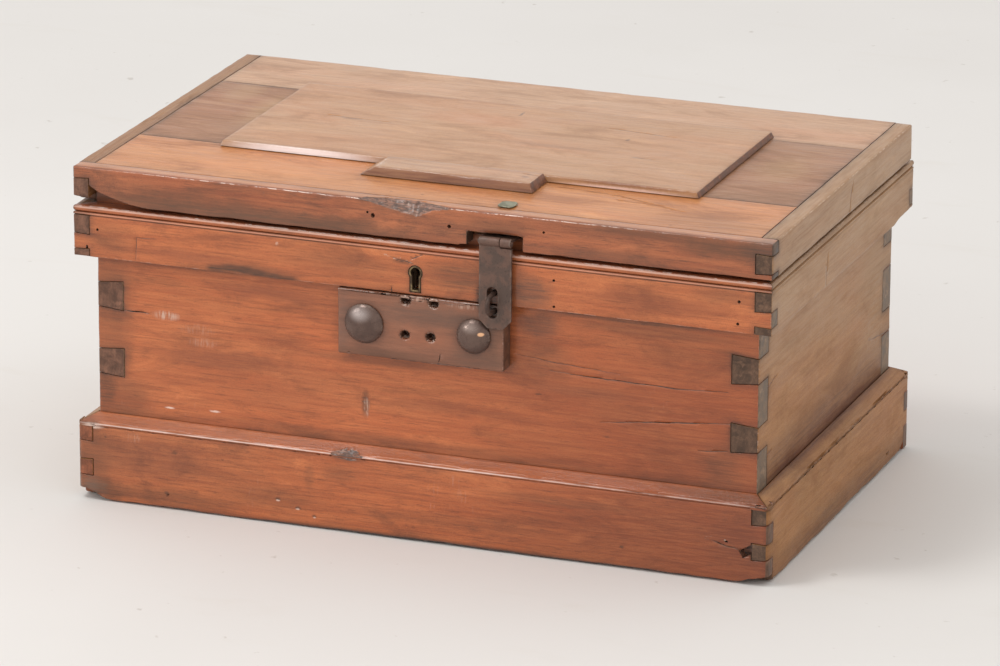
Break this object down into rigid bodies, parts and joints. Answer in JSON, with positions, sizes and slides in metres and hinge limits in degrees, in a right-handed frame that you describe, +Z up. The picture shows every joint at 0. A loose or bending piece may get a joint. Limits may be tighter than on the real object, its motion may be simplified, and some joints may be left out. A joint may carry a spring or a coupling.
{
  "type": "wooden money box",
  "caption": "Dovetailed pine money chest with a plinth, a beaded band, a hinged framed lid, an iron hasp and staple and a box lock with a brass keyhole.",
  "frame": {"origin": "on the floor, in the middle of the chest's overall plan, half way between the staple's tip and the plinth's back", "axes": "+X along the chest's length, to the right of someone who faces its front; +Y from the front towards the hinges; +Z up"},
  "size_m": [0.578, 0.3816, 0.283],
  "materials": {
    "stained_pine": "worn red-brown stain and old varnish over pine, satin",
    "lid_pine": "tan-brown stained pine, rubbed and satin on top",
    "bare_pine": "unfinished aged pine, matt",
    "dark_block": "dark stained hardwood, worn satin",
    "old_iron": "dark brown rusted iron, worn satin",
    "old_brass": "tarnished brass with rubbed edges",
    "green_brass": "brass covered in grey-green verdigris, matt"
  },
  "bodies": {
    "carcase": {"front_board": "stained_pine", "back_board": "stained_pine", "left_side_board": "stained_pine", "right_side_board": "stained_pine", "bottom_board_front": "bare_pine", "bottom_board_back": "bare_pine", "plinth_front": "stained_pine", "plinth_back": "stained_pine", "plinth_left": "stained_pine", "plinth_right": "stained_pine", "band_front": "stained_pine", "band_back": "stained_pine", "band_left": "stained_pine", "band_right": "stained_pine", "hinge_left_lower_leaf": "old_iron", "hinge_right_lower_leaf": "old_iron", "hinge_left_pin": "old_iron", "hinge_right_pin": "old_iron", "hinge_left_lower_screw_1": "old_iron", "hinge_left_lower_screw_2": "old_iron", "hinge_right_lower_screw_1": "old_iron", "hinge_right_lower_screw_2": "old_iron", "hasp_block": "dark_block", "dome_bolt_left": "old_iron", "dome_bolt_right": "old_iron", "dome_bolt_nut_left": "old_iron", "dome_bolt_nut_right": "old_iron", "hasp_staple": "old_iron", "keyhole_escutcheon": "old_brass", "lock_plate": "old_iron", "lock_cap": "old_iron", "lock_plate_screw_1": "old_iron", "lock_plate_screw_2": "old_iron"},
    "lid": {"lid_front_stile": "lid_pine", "lid_back_stile": "lid_pine", "lid_left_end_board": "lid_pine", "lid_right_end_board": "lid_pine", "lid_raised_panel": "lid_pine", "lid_rim_front": "lid_pine", "lid_rim_left": "lid_pine", "lid_rim_right": "lid_pine", "lid_front_batten": "lid_pine", "hinge_left_upper_leaf": "old_iron", "hinge_right_upper_leaf": "old_iron", "hinge_left_upper_screw_1": "old_iron", "hinge_left_upper_screw_2": "old_iron", "hinge_right_upper_screw_1": "old_iron", "hinge_right_upper_screw_2": "old_iron", "hasp_leaf": "old_iron", "hasp_pin": "old_iron", "hasp_clench": "green_brass", "lock_link_plate": "old_iron", "link_plate_screw_1": "old_iron", "link_plate_screw_2": "old_iron"},
    "hasp": {"hasp_strap": "old_iron"},
    "lock_bolt": {"lock_bolt": "old_brass"}
  },
  "joints": [
    {"name": "lid_hinge", "type": "hinge", "parent": "carcase", "child": "lid", "pos_m": [0, 0.1858, 0.25325], "axis": [-1, 0, 0], "range_deg": [0, 105]},
    {"name": "hasp_hinge", "type": "hinge", "parent": "lid", "child": "hasp", "pos_m": [0.067, -0.1768, 0.2539], "axis": [-1, 0, 0], "range_deg": [0, 180]},
    {"name": "lock_bolt_slide", "type": "slide", "parent": "carcase", "child": "lock_bolt", "axis": [1, 0, 0], "range_m": [0, 0.009]}
  ]
}
